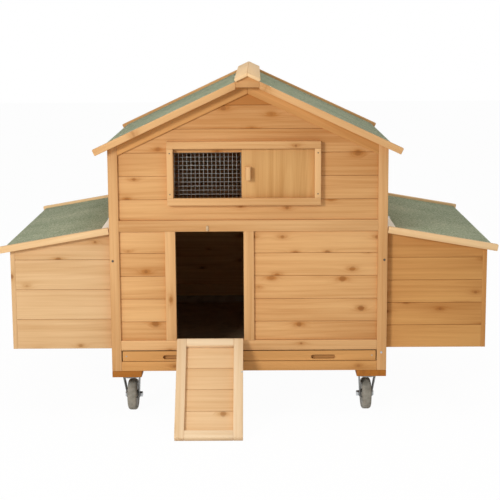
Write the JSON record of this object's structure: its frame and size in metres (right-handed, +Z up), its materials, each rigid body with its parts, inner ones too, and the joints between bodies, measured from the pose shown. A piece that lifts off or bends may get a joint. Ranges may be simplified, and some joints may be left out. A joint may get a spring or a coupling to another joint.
{
  "type": "chicken tractor",
  "caption": "Wooden hen house on swivel castors with lidded nest boxes on its sides, a fold-up ramp door, a sliding window panel and a pull-out droppings tray.",
  "frame": {"origin": "middle of the object's footprint box, on the ground", "axes": "+X to the right seen from the front, +Y to the rear, +Z up"},
  "size_m": [1.539, 1.2146, 1.0755],
  "materials": {
    "fir": "oiled knotty softwood",
    "plywood": "raw plywood",
    "roofing_felt": "mineral-faced bitumen felt",
    "zinc_steel": "zinc plated",
    "grey_rubber": "matt grey"
  },
  "bodies": {
    "house": {"front_posts": "fir", "rear_posts": "fir", "front_sill": "fir", "front_low_rail": "fir", "front_mid_rail": "fir", "door_jambs": "fir", "front_rafters": "fir", "front_boards": "fir", "gable_boards": "fir", "rear_frame": "fir", "rear_boards": "fir", "side_frames": "fir", "side_boards": "fir", "barge_battens": "fir", "ridge_cap": "fir", "ridge_blocks": "fir", "window_frame": "fir", "tray_runners": "fir", "perches": "fir", "left_nest_walls": "fir", "right_nest_walls": "fir", "castor_blocks": "fir", "roof_boards": "plywood", "nest_floors": "plywood", "nest_dividers": "plywood", "roof_felts": "roofing_felt", "window_mesh": "zinc_steel", "ramp_rail_leaves": "zinc_steel", "hinge_pins": "zinc_steel", "turn_button_screw": "zinc_steel", "lid_wall_leaves": "zinc_steel", "castor_plates": "zinc_steel"},
    "ramp": {"ramp_frame": "fir", "ramp_boards": "fir", "ramp_leaves": "zinc_steel"},
    "tray": {"tray_front": "fir", "tray_pan": "zinc_steel"},
    "window": {"window_panel": "plywood", "window_knob": "fir"},
    "button": {"turn_button": "zinc_steel"},
    "left_lid": {"left_lid_board": "plywood", "left_lid_felt": "roofing_felt", "left_lid_battens": "fir", "left_lid_leaves": "zinc_steel"},
    "right_lid": {"right_lid_board": "plywood", "right_lid_felt": "roofing_felt", "right_lid_battens": "fir", "right_lid_leaves": "zinc_steel"},
    "front_left_castor": {"front_left_fork": "zinc_steel", "front_left_axle": "zinc_steel"},
    "front_left_roller": {"front_left_wheel": "grey_rubber"},
    "front_right_castor": {"front_right_fork": "zinc_steel", "front_right_axle": "zinc_steel"},
    "front_right_roller": {"front_right_wheel": "grey_rubber"},
    "rear_left_castor": {"rear_left_fork": "zinc_steel", "rear_left_axle": "zinc_steel"},
    "rear_left_roller": {"rear_left_wheel": "grey_rubber"},
    "rear_right_castor": {"rear_right_fork": "zinc_steel", "rear_right_axle": "zinc_steel"},
    "rear_right_roller": {"rear_right_wheel": "grey_rubber"}
  },
  "joints": [
    {"name": "tray_slide", "type": "slide", "parent": "house", "child": "tray", "axis": [0, -1, 0], "range_m": [0, 0.45]},
    {"name": "ramp_fold", "type": "hinge", "parent": "house", "child": "ramp", "pos_m": [-0.12, -0.35404, 0.245], "axis": [-1, 0, 0], "range_deg": [0, 136.6]},
    {"name": "window_slide", "type": "slide", "parent": "house", "child": "window", "axis": [-1, 0, 0], "range_m": [0, 0.212]},
    {"name": "button_turn", "type": "hinge", "parent": "house", "child": "button", "pos_m": [-0.126, -0.35149, 0.5965], "axis": [0, 1, 0], "range_deg": [0, 180]},
    {"name": "left_lid_lift", "type": "hinge", "parent": "house", "child": "left_lid", "pos_m": [-0.438, 0.10526, 0.598], "axis": [0, 1, 0], "range_deg": [0, 95]},
    {"name": "right_lid_lift", "type": "hinge", "parent": "house", "child": "right_lid", "pos_m": [0.438, 0.10526, 0.598], "axis": [0, -1, 0], "range_deg": [0, 95]},
    {"name": "front_left_swivel", "type": "hinge", "parent": "house", "child": "front_left_castor", "pos_m": [-0.373, -0.29474, 0.121], "axis": [0, 0, 1], "continuous": true},
    {"name": "front_left_roll", "type": "hinge", "parent": "front_left_castor", "child": "front_left_roller", "pos_m": [-0.37167, -0.25676, 0.05], "axis": [0.9994, -0.0349, 0], "continuous": true},
    {"name": "front_right_swivel", "type": "hinge", "parent": "house", "child": "front_right_castor", "pos_m": [0.373, -0.29474, 0.121], "axis": [0, 0, 1], "continuous": true},
    {"name": "front_right_roll", "type": "hinge", "parent": "front_right_castor", "child": "front_right_roller", "pos_m": [0.37167, -0.25676, 0.05], "axis": [0.9994, 0.0349, 0], "continuous": true},
    {"name": "rear_left_swivel", "type": "hinge", "parent": "house", "child": "rear_left_castor", "pos_m": [-0.373, 0.50526, 0.121], "axis": [0, 0, 1], "continuous": true},
    {"name": "rear_left_roll", "type": "hinge", "parent": "rear_left_castor", "child": "rear_left_roller", "pos_m": [-0.37167, 0.54324, 0.05], "axis": [0.9994, -0.0349, 0], "continuous": true},
    {"name": "rear_right_swivel", "type": "hinge", "parent": "house", "child": "rear_right_castor", "pos_m": [0.373, 0.50526, 0.121], "axis": [0, 0, 1], "continuous": true},
    {"name": "rear_right_roll", "type": "hinge", "parent": "rear_right_castor", "child": "rear_right_roller", "pos_m": [0.37167, 0.54324, 0.05], "axis": [0.9994, 0.0349, 0], "continuous": true}
  ],
  "couplings": [
    {"joint": "ramp_fold", "follows": "tray_slide", "rad_per_m": 5.298}
  ]
}
